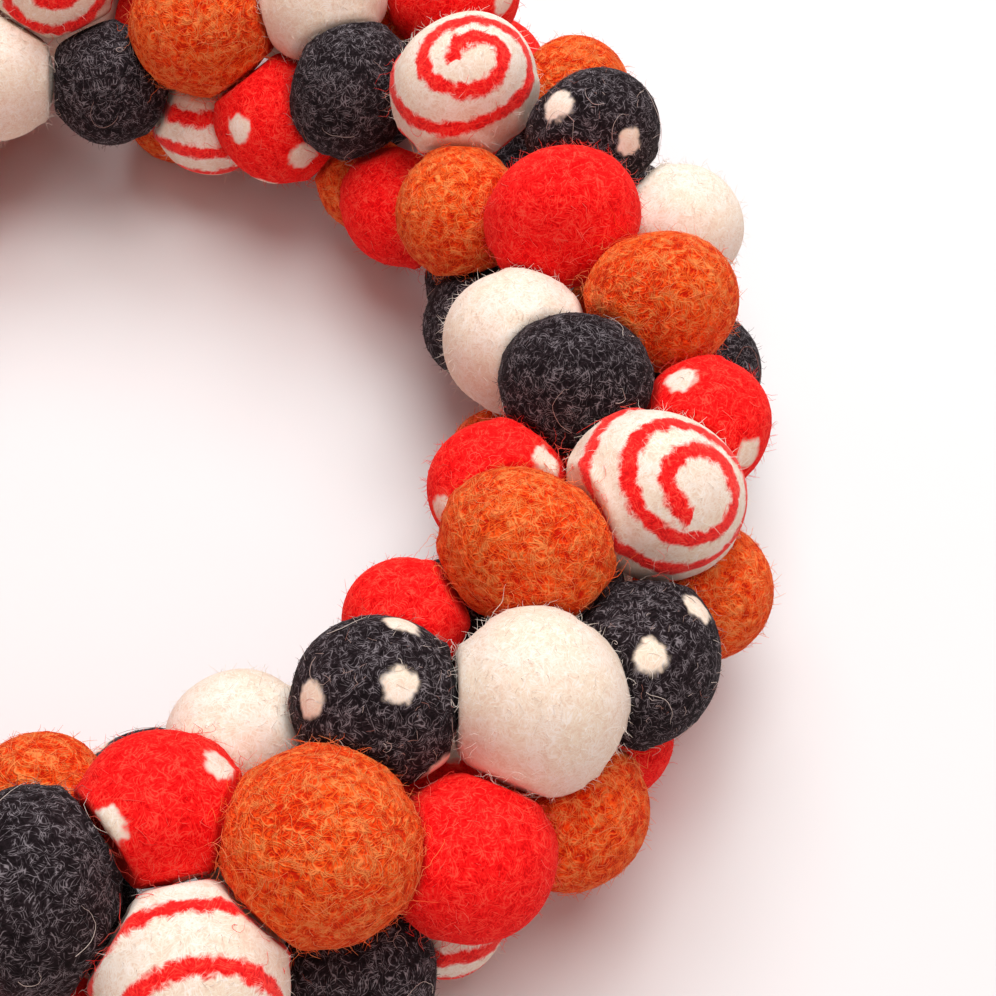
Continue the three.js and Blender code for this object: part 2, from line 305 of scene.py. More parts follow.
def wobble(step, place, use):
    """A repeatable number between -1 and 1"""
    angle = step * WOBBLE_MIX["step"] + place * WOBBLE_MIX["place"] + use * WOBBLE_MIX["use"]
    number = math.sin(angle) * WOBBLE_MIX["spread"]
    return 2 * (number - math.floor(number)) - 1


def point_on_tube(turn, around):
    reach = RING_RADIUS + TUBE_RADIUS * math.cos(around)
    height = TUBE_HEIGHT + TUBE_RADIUS * math.sin(around)
    return np.array((reach * math.cos(turn), reach * math.sin(turn), height))


def back_onto_tube(point):
    turn = math.atan2(point[1], point[0])
    reach = math.hypot(point[0], point[1]) - RING_RADIUS
    return point_on_tube(turn, math.atan2(point[2] - TUBE_HEIGHT, reach))


def direction(bearing, lift):
    """Unit vector of a bearing and a lift, in degrees"""
    b, up = math.radians(bearing), math.radians(lift)
    return np.array((math.cos(b) * math.cos(up), math.sin(b) * math.cos(up), math.sin(up)))


class Ball:
    """One felt ball of the layout, in millimetres"""

    def __init__(self, step, place, row):
        self.step, self.place = step, place
        self.centre = point_on_tube(math.radians(row["turn"]), math.radians(row["round"]))
        self.radius = row["size"] / 2
        self.squash = row["squash"]
        self.felt = row["felt"]
        self.placed = row["felt"] is not None
        self.number = 0
        self.node = None

    def touches(self, other):
        apart = np.linalg.norm(self.centre - other.centre)
        return apart < NEIGHBOUR * (self.radius + other.radius)


def lay_out():
    """Every place of the rule, with the placed ball where there is one"""
    placed = {values[:2]: dict(zip(PLACED_COLUMNS, values)) for values in PLACED}
    for row in placed.values():
        row["squash"] /= 100
    balls = []
    for step in range(FIRST_STEP, FIRST_STEP + STEPS):
        places = PLACES["even" if step % 2 == 0 else "odd"]
        for index, (place, (around, size)) in enumerate(places.items()):
            chance = {use: wobble(step, index, USE[use]) for use in ("turn", "round", "size", "squash")}
            ruled = {
                "turn": TURN_OF_STEP_0 + STEP_TURN * step + TURN_WOBBLE * chance["turn"],
                "round": around + ROUND_WOBBLE * chance["round"],
                "size": size + SIZE_SPREAD * chance["size"],
                "squash": SQUASH_WOBBLE / 100 * chance["squash"],
                "felt": None,
            }
            balls.append(Ball(step, place, placed.get((step, place), ruled)))
    return balls


def settle(balls):
    """Ruled balls slide over the tube until none is squeezed more than felt allows"""
    for _ in range(SETTLE_ROUNDS):
        for ball in balls:
            if ball.placed:
                continue
            push = np.zeros(3)
            for other in balls:
                if other is ball:
                    continue
                away = ball.centre - other.centre
                apart = np.linalg.norm(away)
                squeeze = SQUEEZED * (ball.radius + other.radius) - apart
                if squeeze > 0:
                    push += away / apart * squeeze * PUSHED_BACK
            ball.centre = back_onto_tube(ball.centre + push)
            ball.centre[2] = max(ball.centre[2], ball.radius - FLATTENED)


def choose_felts(balls):
    """A ruled ball takes a felt that doesn't touch it yet, with some chance the one
    that is furthest behind its share"""
    used = {felt: sum(ball.felt == felt for ball in balls) for felt in SHARES}
    for number, ball in enumerate(balls):
        if ball.placed:
            continue
        taken = {other.felt for other in balls if other is not ball and ball.touches(other)}

        def wait(felt):
            chance = CHANCE * wobble(number, list(SHARES).index(felt), USE["felt"])
            return used[felt] / SHARES[felt] + chance + (TAKEN if felt in taken else 0)

        ball.felt = min(SHARES, key=wait)
        used[ball.felt] += 1


def gather(balls):
    """The groups of balls that are one solid each, in the order of their numbers"""
    def alone(ball):
        return ball.placed and ball.place not in UNDERSIDE

    groups = [[ball] for ball in balls if alone(ball)]
    waiting = [ball for ball in balls if not alone(ball)]
    while waiting:
        group = [waiting.pop(0)]
        while len(group) < MOST_IN_GROUP:
            near = (b for b in waiting if any(member.touches(b) for member in group))
            found = next(near, None)
            if found is None:
                break
            group.append(found)
            waiting.remove(found)
        groups.append(group)
    return groups


def contacts(ball, balls, gap):
    """Each neighbour that a ball presses on, the way there and its length, and how far away
    the flat between them is"""
    for other in balls:
        if other is not ball and ball.touches(other):
            away = other.centre - ball.centre
            apart = np.linalg.norm(away)
            middle = (apart ** 2 + ball.radius ** 2 - other.radius ** 2) / (2 * apart)
            yield other, away, apart, middle - gap / 2


@functools.cache
def geodesic(parts):
    """Directions and triangles of an icosahedron with each edge cut into parts"""
    golden = (1 + math.sqrt(5)) / 2
    signs = itertools.product((-1, 1), (-golden, golden))
    corners = [np.roll((a, b, 0), turn) for a, b in signs for turn in range(3)]
    edge, slack, decimals = 2.0, 0.01, 6
    points, triangles = {}, []

    def point(a, b, c, i, j):
        spot = (a * (parts - i - j) + b * i + c * j) / parts
        key = tuple(np.round(spot, decimals) + 0.0)
        points.setdefault(key, len(points))
        return points[key]

    for trio in itertools.combinations(corners, 3):
        if any(abs(np.linalg.norm(p - q) - edge) > slack for p, q in itertools.combinations(trio, 2)):
            continue
        a, b, c = trio
        if np.dot(np.cross(b - a, c - a), a) < 0:
            b, c = c, b
        for i in range(parts):
            for j in range(parts - i):
                low = [point(a, b, c, i, j), point(a, b, c, i + 1, j), point(a, b, c, i, j + 1)]
                triangles.append(low)
                if i + j < parts - 1:
                    triangles.append([low[1], point(a, b, c, i + 1, j + 1), low[2]])
    found = np.array(list(points))
    return found / np.linalg.norm(found, axis=1)[:, None], np.array(triangles)


def free_reach(ball, rays):
    """How far a ball that nothing presses on reaches along each ray"""
    along = np.array((-ball.centre[1], ball.centre[0], 0))
    along /= np.linalg.norm(along)
    lean = (rays @ along) ** 2
    short, long = (1 - ball.squash) ** 2, (1 + ball.squash / 2) ** 2
    return ball.radius / np.sqrt(lean / short + (1 - lean) / long)


def solid_points(ball, balls, rays):
    """Corners of a ball's solid"""
    reach = free_reach(ball, rays)
    for _, away, apart, distance in contacts(ball, balls, GAP):
        lean = rays @ (away / apart)
        leaning = lean > 0
        reach[leaning] = np.minimum(reach[leaning], distance / lean[leaning])
    return ball.centre + rays * reach[:, None]


def plan():
    """The balls, each with its number and the node that it belongs to, moved to where
    the frame has them"""
    balls = lay_out()
    settle(balls)
    choose_felts(balls)
    shift = None
    for number, group in enumerate(gather(balls), 1):
        name = f"ball_{number:02d}_{group[0].felt}" if len(group) == 1 else f"balls_{number:02d}_joined"
        if name not in frame["nodes"]:
            raise RuntimeError(f"the frame has no {name}, so its balls are laid out another way")
        for ball in group:
            ball.node = name
        if len(group) > 1:
            continue
        rays = geodesic(SOLID_PARTS[group[0].place in LOW_PLACES])[0]
        corners = solid_points(group[0], balls, rays)
        low, high = (np.array(corner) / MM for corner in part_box(name))
        if shift is None:
            shift = high - corners.max(axis=0)
        worst = np.abs(high - corners.max(axis=0) - shift)[:2].max()
        if worst > GAP / 2:
            raise RuntimeError(f"{name} is {worst:.2f} mm from its place in the frame")
    for number, ball in enumerate(balls, 1):
        ball.number = number
    return balls, np.array((shift[0], shift[1], 0))


# The shape of one ball

def lumps(ball, rays, seed):
    """Hand-rolled unevenness between -1 and 1, from a few smooth waves over the ball"""
    draw = np.random.default_rng(seed)
    total = np.zeros(len(rays))
    for number in range(LUMP_WAVES):
        way = draw.normal(size=3)
        way /= np.linalg.norm(way)
        pace = draw.uniform(*LUMP_PACES)
        total += np.sin(rays @ way * pace + draw.uniform(0, math.tau)) / pace
    return total / 2


def soft_least(a, b, softness):
    """The lesser of two lengths, with a round turn from one to the other"""
    mix = np.clip(0.5 + 0.5 * (b - a) / softness, 0, 1)
    return b + (a - b) * mix - softness * mix * (1 - mix)


def dot_places(ball, seed):
    """Directions of a dotted ball's dots"""
    dots = [direction(*pair) for pair in DOTS.get((ball.step, ball.place), [])]
    dots += [-dot for dot in dots]
    draw = np.random.default_rng(seed)
    nearest = math.cos(math.radians(DOT_SPACING))
    ceiling = math.sin(math.radians(DOT_CEILING)) if ball.placed else 1
    for _ in range(DOT_TRIES):
        way = draw.normal(size=3)
        way /= np.linalg.norm(way)
        if way[2] < ceiling and all(way @ dot < nearest for dot in dots):
            dots.append(way)
    return dots


def dot_marks(ball, rays, sizes):
    """How deep each ray is inside a dot, in millimetres; less than nothing is outside"""
    closest = np.full(len(rays), FAR)
    for dot in dot_places(ball, ball.number):
        closest = np.minimum(closest, np.arccos(np.clip(rays @ dot, -1, 1)) * ball.radius)
    return sizes.dot_radius / MM - closest


def reach_of_stripe(spiral, turns):
    """How far the middle of a stripe is from the eye after some turns"""
    reaches = spiral["reaches"]
    listed = (len(reaches) - 1) / EIGHTHS
    beyond = np.maximum(turns - listed, 0) * spiral["pitch"]
    if listed == 0:
        return reaches[0] + beyond
    fine = np.linspace(0, listed, FINE_STEPS * (len(reaches) - 1) + 1)
    even = np.interp(fine * EIGHTHS, range(len(reaches)), reaches)
    padded = np.pad(even, FINE_STEPS // 2, "reflect", reflect_type="odd")
    smooth = np.convolve(padded, np.full(FINE_STEPS + 1, 1 / (FINE_STEPS + 1)), "valid")
    return np.interp(turns, fine, smooth) + beyond


def spiral_marks(ball, rays):
    """How deep each ray is inside the spiral stripe, in millimetres"""
    draw = np.random.default_rng(ball.number)
    ruled = (draw.uniform(-180, 180), draw.uniform(-90, 90), draw.uniform(0, 360), *RULED_SPIRAL)
    spiral = dict(zip(SPIRAL_COLUMNS, SPIRALS.get((ball.step, ball.place), ruled)))
    eye = direction(spiral["bearing"], spiral["lift"])
    top = direction(spiral["bearing"], spiral["lift"] + 90)
    right = np.cross(top, eye)
    down = np.arccos(np.clip(rays @ eye, -1, 1)) * ball.radius
    turned = (np.arctan2(rays @ right, rays @ top) / math.tau - spiral["start"] / 360) % 1
    closest = np.full(len(rays), FAR)
    for lap in range(MOST_LAPS):
        closest = np.minimum(closest, np.abs(down - reach_of_stripe(spiral, turned + lap)))
    return spiral["width"] / 2 - closest


def pressed_limits(ball, balls, rays, reach, gap):
    """How far each neighbour lets a ball reach along each ray. Of two balls the one that
    sits higher stays rounder and dents the other."""
    limits = []
    for other, away, apart, distance in contacts(ball, balls, gap):
        lean = np.maximum(rays @ away / apart, SIDEWAYS)
        flat = distance / lean
        if ball.centre[2] > other.centre[2]:
            limits.append(flat + ROUNDER * np.maximum(reach - flat, 0))
            continue
        beside = other.radius ** 2 - apart ** 2 * (1 - lean ** 2)
        dent = apart * lean - np.sqrt(np.maximum(beside, 0)) - gap / 2
        limits.append(np.where(beside > 0, flat + ROUNDER * np.minimum(dent - flat, 0), flat))
    return limits


def swelling(reach, limits, most):
    """How far pressed felt swells into the crease beside each flat, along each ray"""
    swell = np.zeros(len(reach))
    for limit in limits:
        short = np.clip(limit - reach, 0, most)
        near = short / most
        swell = np.maximum(swell, short * (1 - near * near * (3 - 2 * near)))
    return swell


def place_marks(ball, rays, sizes):
    """How deep each ray is inside a dot or the stripe of its ball, in millimetres"""
    if ball.felt == "swirl":
        return spiral_marks(ball, rays)
    if ball.felt.endswith("dotted"):
        return dot_marks(ball, rays, sizes)
    return np.full(len(rays), -FAR)


def ball_mesh(ball, balls, shift, sizes):
    """Mesh of one ball. Its points know how deep they are in a dot or the stripe, where
    fibres of its body, its marks and its creases grow, and its felt."""
    kind = "low" if ball.place in LOW_PLACES else "plain"
    rays, triangles = geodesic(BALL_PARTS.get(ball.felt.split("_")[-1], BALL_PARTS[kind]))
    reach = free_reach(ball, rays)
    reach += sizes.lump_height / MM * lumps(ball, rays, ball.number)
    mark = place_marks(ball, rays, sizes)
    reach += sizes.mark_height / MM * np.clip(mark + MARK_RISE, 0, 1)
    softness = sizes.contact_softness / MM
    limits = pressed_limits(ball, balls, rays, reach, sizes.ball_gap / MM)
    reach += swelling(reach, limits, sizes.bulge_reach / MM)
    for limit in limits:
        reach = soft_least(reach, limit, softness)
    low = rays[:, 2] < -SIDEWAYS
    reach[low] = soft_least(reach[low], ball.centre[2] / -rays[low, 2], softness)
    points = ball.centre + rays * reach[:, None]
    margin = np.full(len(rays), FAR)
    for _, away, apart, distance in contacts(ball, balls, 0):
        margin = np.minimum(margin, distance - (points - ball.centre) @ (away / apart))
    out = np.hypot(np.hypot(points[:, 0], points[:, 1]) - RING_RADIUS, points[:, 2] - TUBE_HEIGHT)
    shows = np.clip((out - TUBE_SHOWS[0]) / (TUBE_SHOWS[1] - TUBE_SHOWS[0]), 0, 1)
    shows *= np.clip((margin - CREASE[0]) / CREASE_FADE, 0, 1)
    shows *= np.clip((points[:, 2] - UNDER_HIDES[0]) / (UNDER_HIDES[1] - UNDER_HIDES[0]), 0, 1)
    values = {
        "mark": mark,
        "body": shows * (mark < -MARK_EDGE),
        "marked": shows * (mark > MARK_EDGE),
        "crease": shows * np.clip((CREASE[1] - margin) / (CREASE[1] - CREASE[0]), 0, 1),
        "felt": np.full(len(rays), list(BASE_OF).index(ball.felt)),
    }
    points[:, 2] = np.maximum(points[:, 2], 0)
    points = (points + shift) * MM
    mesh = bpy.data.meshes.new(piece_name(ball))
    mesh.from_pydata(points.tolist(), [], triangles.tolist())
    for name, numbers in values.items():
        layer = mesh.attributes.new(name, "FLOAT", "POINT")
        layer.data.foreach_set("value", numbers.astype(np.float32))
    ids = np.full(len(triangles), ball.number, np.int32)
    mesh.attributes.new("ball", "INT", "FACE").data.foreach_set("value", ids)
    mesh.polygons.foreach_set("use_smooth", np.ones(len(triangles), bool))
    mesh.update()
    return mesh


def piece_name(ball):
    return f"felt_ball_{ball.number:03d}_{ball.felt}"


def new_object(name, data):
    """A new object in the scene"""
    thing = bpy.data.objects.new(name, data)
    bpy.context.scene.collection.objects.link(thing)
    return thing


def place_piece(name, mesh, nodes=()):
    """Puts a mesh in the scene as a piece that rides on the wreath's body"""
    piece = new_object(name, mesh)
    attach(piece, BODY)
    if nodes:
        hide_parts(*nodes)
    return piece


# Felt materials

# Colours of each wool as sRGB, in the order of its parts. The darker deep colour is painted
# shade in the pits between fibres, and the lighter lit colour a painted highlight on the top
# fibres. Mixed wool is only in loose fibres.
WOOL_PARTS = {
    "deep": "Depths of the {} wool",
    "body": "Mass of the {} wool",
    "patch": "Patches in the mass of the {} wool",
    "lit": "Outer fibres of the {} wool",
    "fibre": "Loose fibres of the {} wool",
}
WOOL_COLOURS = {
    "orange": (0xD01800, 0xFF5A16, 0xF64208, 0xFF8E4C, 0xFFA068),
    "red": (0xD80006, 0xFF1A1A, 0xFF1014, 0xFF4C3C, 0xFF7666),
    "black": (0x0E090B, 0x1F171B, 0x261D21, 0x847D82, 0x7A7478),
    "white": (0xECD4BE, 0xF6E9DA, 0xF3E4CE, 0xFBF4EA, 0xFCF7F0),
    "mixed": (None, 0x9A5A4C, None, None, 0xF2E6DC),
}

# How each wool felts. across and along are the spacing and the length of its fibres in
# millimetres, fine a fibre's breadth against the spacing, shown the share that lies on
# top, pits and grain how uneven the mass is, bump how rough it feels, and sheen how its
# finest hairs catch the light. Only the coarse orange wool has a bump.
WOOL_COLUMNS = ("across", "along", "fine", "shown", "pits", "grain", "bump", "sheen")
WOOL_FELTS = {
    "orange": (0.50, 3.6, 0.38, 0.50, 1.2, 0.4, 0.8, 0.15),
    "red": (0.45, 2.2, 0.38, 0.38, 0.6, 0.5, 0, 0.15),
    "black": (0.42, 1.4, 0.34, 0.34, 0.5, 0.3, 0, 0.02),
    "white": (0.45, 1.6, 0.38, 0.36, 0.6, 0.5, 0, 0.15),
}

# Layers of fibres lie six ways, as the axes of an icosahedron do, so that at any place on
# a ball five of them run along the felt
LAYER_WAYS = [(0, 90), *((bearing, 26.6) for bearing in range(0, 360, 72))]
LAYER_SHIFT = 37  # from where one layer's pattern starts to where the next one's does, mm
FLAT_LAYER = (0.92, 0.75)  # how far a layer's way lines up with the surface where it ends
BEND_SIZE, BEND_REACH = 2.8, 2.6  # size and strength of the wander that bends all fibres, mm
SIDESTEP = 1.6  # how many fibres' breadths a fibre's own wander takes it sideways
DIVE = 0.13  # how suddenly a fibre goes under
PIT_SIZE, GRAIN_SIZE, PATCH_SIZE = 1.9, 0.5, 10  # mm
BUMP_HEIGHT = 0.35  # mm
WANDER_PACE = 0.7  # turns of a fibre's own wander in one fibre's length
WANDER_SPREAD = 0.5  # how widely that wander spreads around its middle
# Pits below the first range take the darker deep colour, painted shade; fibres above the second take the
# lighter lit colour, a painted highlight
PIT_SHADE_HEIGHTS = (-0.25, 0.4)  # heights at which pits end and the mass is full
HEIGHTS = (0.4, 1.15)  # heights at which outer fibres start and are full
PATCHES = (0.4, 0.62)  # noise at which patches start and are full
MEAN_HEIGHT = 0.3
EDGE_BLEND = (-0.8, 0.65)  # where a mark's wool starts and where it hides the ball's, mm
EDGE_RAG = 0.4  # how far single fibres take a mark's edge, mm
SWAY_SIZE, SWAY_REACH = 2.4, 3.0  # slow unevenness of a mark's edge, mm


def felt_pattern(put, coordinates, felt):
    """Height of one felt, and how much of its pits, its outer fibres and its patches
    shows: crossing layers of curved fibres over an uneven mass"""
    place = coordinates.outputs["Object"]
    bends = put(NOISE, {"Vector": place, "Scale": 1 / (BEND_SIZE * MM), "Detail": 0})
    bends = put(VECTORS, (bends.outputs["Color"], (0.5, 0.5, 0.5)), "SUBTRACT")
    bends = put(VECTORS, {0: bends, "Scale": BEND_REACH * MM}, "SCALE")
    bent = put(VECTORS, (place, bends), "ADD")
    hidden = 0.5 + (0.5 - felt["shown"]) * WANDER_SPREAD
    fibres = None
    for number, way in enumerate(LAYER_WAYS):
        turn = (0, -math.radians(way[1]), math.radians(way[0]))
        start = (LAYER_SHIFT * MM * number,) * 3
        scale = (felt["across"] * MM, felt["along"] * MM, felt["along"] * MM)
        lies = put("ShaderNodeMapping", (bent, start, turn, scale), vector_type="TEXTURE")
        wander = put(NOISE, {"Vector": lies, "Scale": WANDER_PACE, "Detail": 0})
        across = put("ShaderNodeSeparateXYZ", (lies,))
        across = put(MATHS, (wander, SIDESTEP, across), "MULTIPLY_ADD")
        across = put(MATHS, (across, 0.5), "PINGPONG")
        fibre = put(RANGE, (across, 0, felt["fine"], 1, 0), interpolation_type="SMOOTHSTEP")
        top = put(RANGE, (wander, hidden - DIVE, hidden + DIVE))
        flat = put(VECTORS, (coordinates.outputs["Normal"], direction(*way)), "DOT_PRODUCT")
        flat = put(MATHS, (flat,), "ABSOLUTE")
        flat = put(RANGE, (flat, *FLAT_LAYER, 0, 1))
        fibre = put(MATHS, (fibre, top), "MULTIPLY")
        fibre = put(MATHS, (fibre, flat), "MULTIPLY")
        fibres = put(MATHS, (fibres, fibre), "MAXIMUM") if fibres else fibre
    height = fibres
    for name, size, detail in (("pits", PIT_SIZE, 1), ("grain", GRAIN_SIZE, 0)):
        uneven = put(NOISE, {"Vector": place, "Scale": 1 / (size * MM), "Detail": detail})
        uneven = put(MATHS, (uneven, 0.5), "SUBTRACT")
        height = put(MATHS, (uneven, felt[name] * 2, height), "MULTIPLY_ADD")
    full = put(RANGE, (height, *PIT_SHADE_HEIGHTS), interpolation_type="SMOOTHSTEP")
    high = put(RANGE, (height, *HEIGHTS), interpolation_type="SMOOTHSTEP")
    patch = put(NOISE, {"Vector": place, "Scale": 1 / (PATCH_SIZE * MM), "Detail": 1})
    patch = put(RANGE, (patch, *PATCHES))
    return height, full, high, patch


def wool_colour(wool, part):
    """A wool's colour as the panel has it"""
    return solid(getattr(bpy.context.scene.wreath_colours, f"{wool}_{part}"))


def felt_colour(put, wool, full, high, patch):
    """Colour of one wool, from the painted shade of its pits up to the painted highlight of its outer
    fibres
    """
    mass = put(MIX, (patch, wool_colour(wool, "body"), wool_colour(wool, "patch")), data_type="RGBA")
    # Painted shade: the pits take the darker deep colour
    mass = put(MIX, (full, wool_colour(wool, "deep"), mass), data_type="RGBA")
    # Painted highlight: the top fibres take the lighter lit colour
    return put(MIX, (high, mass, wool_colour(wool, "lit")), data_type="RGBA")


def felt_material(name, wool, mark=None):
    """Wet-felted wool: matted fibres that scatter light softly, with no gloss"""
    put = adder(bpy.data.materials.new(name))
    felt = dict(zip(WOOL_COLUMNS, WOOL_FELTS[wool]))
    coordinates = put("ShaderNodeTexCoord")
    height, *shares = felt_pattern(put, coordinates, felt)
    colour = felt_colour(put, wool, *shares)
    if mark:
        sway = put(NOISE, {"Vector": coordinates.outputs["Object"], "Scale": 1 / (SWAY_SIZE * MM),
                           "Detail": 1})
        edge = put("ShaderNodeAttribute", attribute_name="mark").outputs["Fac"]
        edge = put(MATHS, (sway, SWAY_REACH, edge), "MULTIPLY_ADD")
        edge = put(MATHS, (height, -EDGE_RAG, edge), "MULTIPLY_ADD")
        edge = put(MATHS, (edge, SWAY_REACH / 2 - EDGE_RAG * MEAN_HEIGHT), "SUBTRACT")
        inside = put(RANGE, (edge, *EDGE_BLEND), interpolation_type="SMOOTHSTEP")
        colour = put(MIX, (inside, colour, felt_colour(put, mark, *shares)), data_type="RGBA")
    look = {"Base Color": colour, "Roughness": 0.95, "Specular IOR Level": 0.12,
            "Sheen Weight": felt["sheen"], "Sheen Roughness": 0.6,
            "Sheen Tint": wool_colour(wool, "lit")}
    if felt["bump"]:
        bump = {"Height": height, "Strength": felt["bump"], "Distance": BUMP_HEIGHT * MM}
        look["Normal"] = put("ShaderNodeBump", bump)
    shader = put("ShaderNodeBsdfPrincipled", look)
    put("ShaderNodeOutputMaterial", (shader,))


def fibre_material(name, wool):
    """Single wool fibres: the felt's colour, a little lighter or darker from one to the next"""
    put = adder(bpy.data.materials.new(name))
    tone = put("ShaderNodeAttribute", attribute_name="tone").outputs["Fac"]
    colour = put(MIX, (tone, wool_colour(wool, "body"), wool_colour(wool, "fibre")), data_type="RGBA")
    shader = put("ShaderNodeBsdfPrincipled",
                 {"Base Color": colour, "Roughness": 0.8, "Specular IOR Level": 0.2})
    put("ShaderNodeOutputMaterial", (shader,))


BASE_OF = {
    "orange": "orange",
    "black": "black",
    "white": "white",
    "red": "red",
    "swirl": "white",
    "red_dotted": "red",
    "black_dotted": "black",
}
MARK_OF = {"swirl": "red", "red_dotted": "white", "black_dotted": "white"}
BALL_ATTRIBUTES = ("mark", "body", "marked", "crease", "felt", "ball")
FIBRE_SEED = 20
SAME_FELT = 0.1  # two felts' numbers that differ by less are one
SWING_PACE, ROOT_APART = 0.45, 7.31  # steps in a fibre's swing from point to point and root to root
BARE = 0.2  # least height of a fibre over the felt, in thicknesses
TAPER = 0.3  # how much of its thickness a fibre loses towards its end
PER_SQUARE_CM = 1e4  # in a square metre


def felt_materials():
    """The felts' materials, made once"""
    for felt, wool in BASE_OF.items():
        if f"felted_wool_{felt}" not in bpy.data.materials:
            felt_material(f"felted_wool_{felt}", wool, MARK_OF.get(felt))
    for wool in WOOL_COLOURS:
        if f"wool_fibre_{wool}" not in bpy.data.materials:
            fibre_material(f"wool_fibre_{wool}", wool)


# Loose and matted fibres

FIBRE_INPUTS = {
    "NodeSocketFloat": ("Amount", "Felt", "Length", "Thickness", "Curl", "Wander", "Stand", "Lift", "Hug"),
    "NodeSocketInt": ("Points", "Own", "Seed"),
    "NodeSocketString": ("Where",),
    "NodeSocketMaterial": ("Material",),
}

# What differs by chance from one fibre to the next, and between which values
FIBRE_CHANCES = {
    "drift": (-1, 1),
    "length": (0.5, 1.3),
    "tilt": (0.35, 1),
    "arch": (0.2, 1),
    "tone": (0, 1),
}


def fibre_tree():
    """Geometry Nodes: fibres that grow on balls, wander over them or stand off them"""
    name = "wool_fibres"
    if name in bpy.data.node_groups:
        return bpy.data.node_groups[name]
    tree = bpy.data.node_groups.new(name, "GeometryNodeTree")
    put = functools.partial(add, tree)
    tree.interface.new_socket("Geometry", in_out="INPUT", socket_type="NodeSocketGeometry")
    for kind, sockets in FIBRE_INPUTS.items():
        for socket in sockets:
            tree.interface.new_socket(socket, in_out="INPUT", socket_type=kind)
    tree.interface.new_socket("Geometry", in_out="OUTPUT", socket_type="NodeSocketGeometry")
    given = put("NodeGroupInput").outputs

    # Roots on the balls of one felt, as many to the area as the weight says
    weight = put(NAMED, (given["Where"],))
    felt = put(NAMED, ("felt",))
    same = put("FunctionNodeCompare", (felt, given["Felt"], SAME_FELT), "EQUAL")
    density = put(MATHS, (given["Amount"], weight), "MULTIPLY")
    density = put(MATHS, (density, same), "MULTIPLY")
    roots = put("GeometryNodeDistributePointsOnFaces",
                {"Mesh": given["Geometry"], "Density": density, "Seed": given["Seed"]})
    numbered = put(STORE, {"Geometry": roots, "Name": "root", "Value": put("GeometryNodeInputIndex")},
                   data_type="INT")
    facing = put(STORE, {"Geometry": numbered, "Name": "outward", "Value": roots.outputs["Normal"]},
                 data_type="FLOAT_VECTOR")
    points = put("GeometryNodeDuplicateElements", {"Geometry": facing, "Amount": given["Points"]})
    step = points.outputs["Duplicate Index"]
    root = put(NAMED, ("root",), data_type="INT")
    outward = put(NAMED, ("outward",), data_type="FLOAT_VECTOR")
    ball = put(NAMED, ("ball",), data_type="INT")
    last = put(MATHS, (given["Points"], 1), "SUBTRACT")
    drawn = {}
    for number, (use, (low, high)) in enumerate(FIBRE_CHANCES.items(), 1):
        seed = put(MATHS, (given["Seed"], number), "ADD")
        drawn[use] = put("FunctionNodeRandomValue", (low, high, root, seed))

    # Two directions along the felt, the first one at random
    toss = put("FunctionNodeRandomValue", ((-1, -1, -1), (1, 1, 1), root, given["Seed"]),
               data_type="FLOAT_VECTOR")
    first = put(VECTORS, (outward, toss), "CROSS_PRODUCT")
    first = put(VECTORS, (first,), "NORMALIZE")
    second = put(VECTORS, (outward, first), "CROSS_PRODUCT")

    # The fibre's heading turns as it goes, steadily and by chance
    drift = put(MATHS, (drawn["drift"], given["Curl"]), "MULTIPLY")
    place = put(MATHS, (step, SWING_PACE), "MULTIPLY")
    place = put(MATHS, (root, ROOT_APART, place), "MULTIPLY_ADD")
    swing = put(NOISE, {"W": place, "Scale": 1, "Detail": 1}, noise_dimensions="1D")
    swing = put(MATHS, (swing, 0.5), "SUBTRACT")
    swing = put(MATHS, (swing, given["Wander"], drift), "MULTIPLY_ADD")
    turned = put("GeometryNodeAccumulateField", (swing, root)).outputs["Trailing"]
    tilt = put(MATHS, (given["Stand"], drawn["tilt"]), "MULTIPLY")
    move = first
    for other, angle in ((second, turned), (outward, tilt)):
        level = put(VECTORS, {0: move, "Scale": put(MATHS, (angle,), "COSINE")}, "SCALE")
        rise = put(VECTORS, {0: other, "Scale": put(MATHS, (angle,), "SINE")}, "SCALE")
        move = put(VECTORS, (level, rise), "ADD")
    stride = put(MATHS, (given["Length"], drawn["length"]), "MULTIPLY")
    stride = put(MATHS, (stride, last), "DIVIDE")
    move = put(VECTORS, {0: move, "Scale": stride}, "SCALE")
    walked = put("GeometryNodeAccumulateField", (move, root), data_type="FLOAT_VECTOR")
    here = put("GeometryNodeInputPosition")
    spot = put(VECTORS, (here, walked.outputs["Trailing"]), "ADD")

    # Matted fibres follow the felt, and none goes into a ball or under the table
    owner = put(MATHS, (ball, given["Own"]), "MULTIPLY")
    near = put("GeometryNodeProximity", (given["Geometry"], owner, spot, owner))
    normal = put("GeometryNodeInputNormal")
    out = put("GeometryNodeSampleNearestSurface", (given["Geometry"], normal, owner, spot, owner),
              data_type="FLOAT_VECTOR")
    off = put(VECTORS, (spot, near.outputs["Position"]), "SUBTRACT")
    above = put(VECTORS, (off, out), "DOT_PRODUCT")
    bare = put(MATHS, (given["Thickness"], BARE), "MULTIPLY")
    above = put(MATHS, (above, bare), "MAXIMUM")
    along = put(MATHS, (step, last), "DIVIDE")
    arch = put(MATHS, (along, math.pi), "MULTIPLY")
    arch = put(MATHS, (arch,), "SINE")
    arch = put(MATHS, (arch, given["Lift"]), "MULTIPLY")
    arch = put(MATHS, (arch, drawn["arch"], bare), "MULTIPLY_ADD")
    height = put(MIX, (given["Hug"], above, arch))
    raised = put(VECTORS, {0: out, "Scale": height}, "SCALE")
    lifted = put(VECTORS, (near.outputs["Position"], raised), "ADD")
    parts = put("ShaderNodeSeparateXYZ", (lifted,)).outputs
    lowest = put(MATHS, (parts["Z"], given["Thickness"]), "MAXIMUM")
    ended = put("ShaderNodeCombineXYZ", (parts["X"], parts["Y"], lowest))
    moved = put("GeometryNodeSetPosition", {"Geometry": points, "Position": ended})
    toned = put(STORE, {"Geometry": moved, "Name": "tone", "Value": drawn["tone"]})

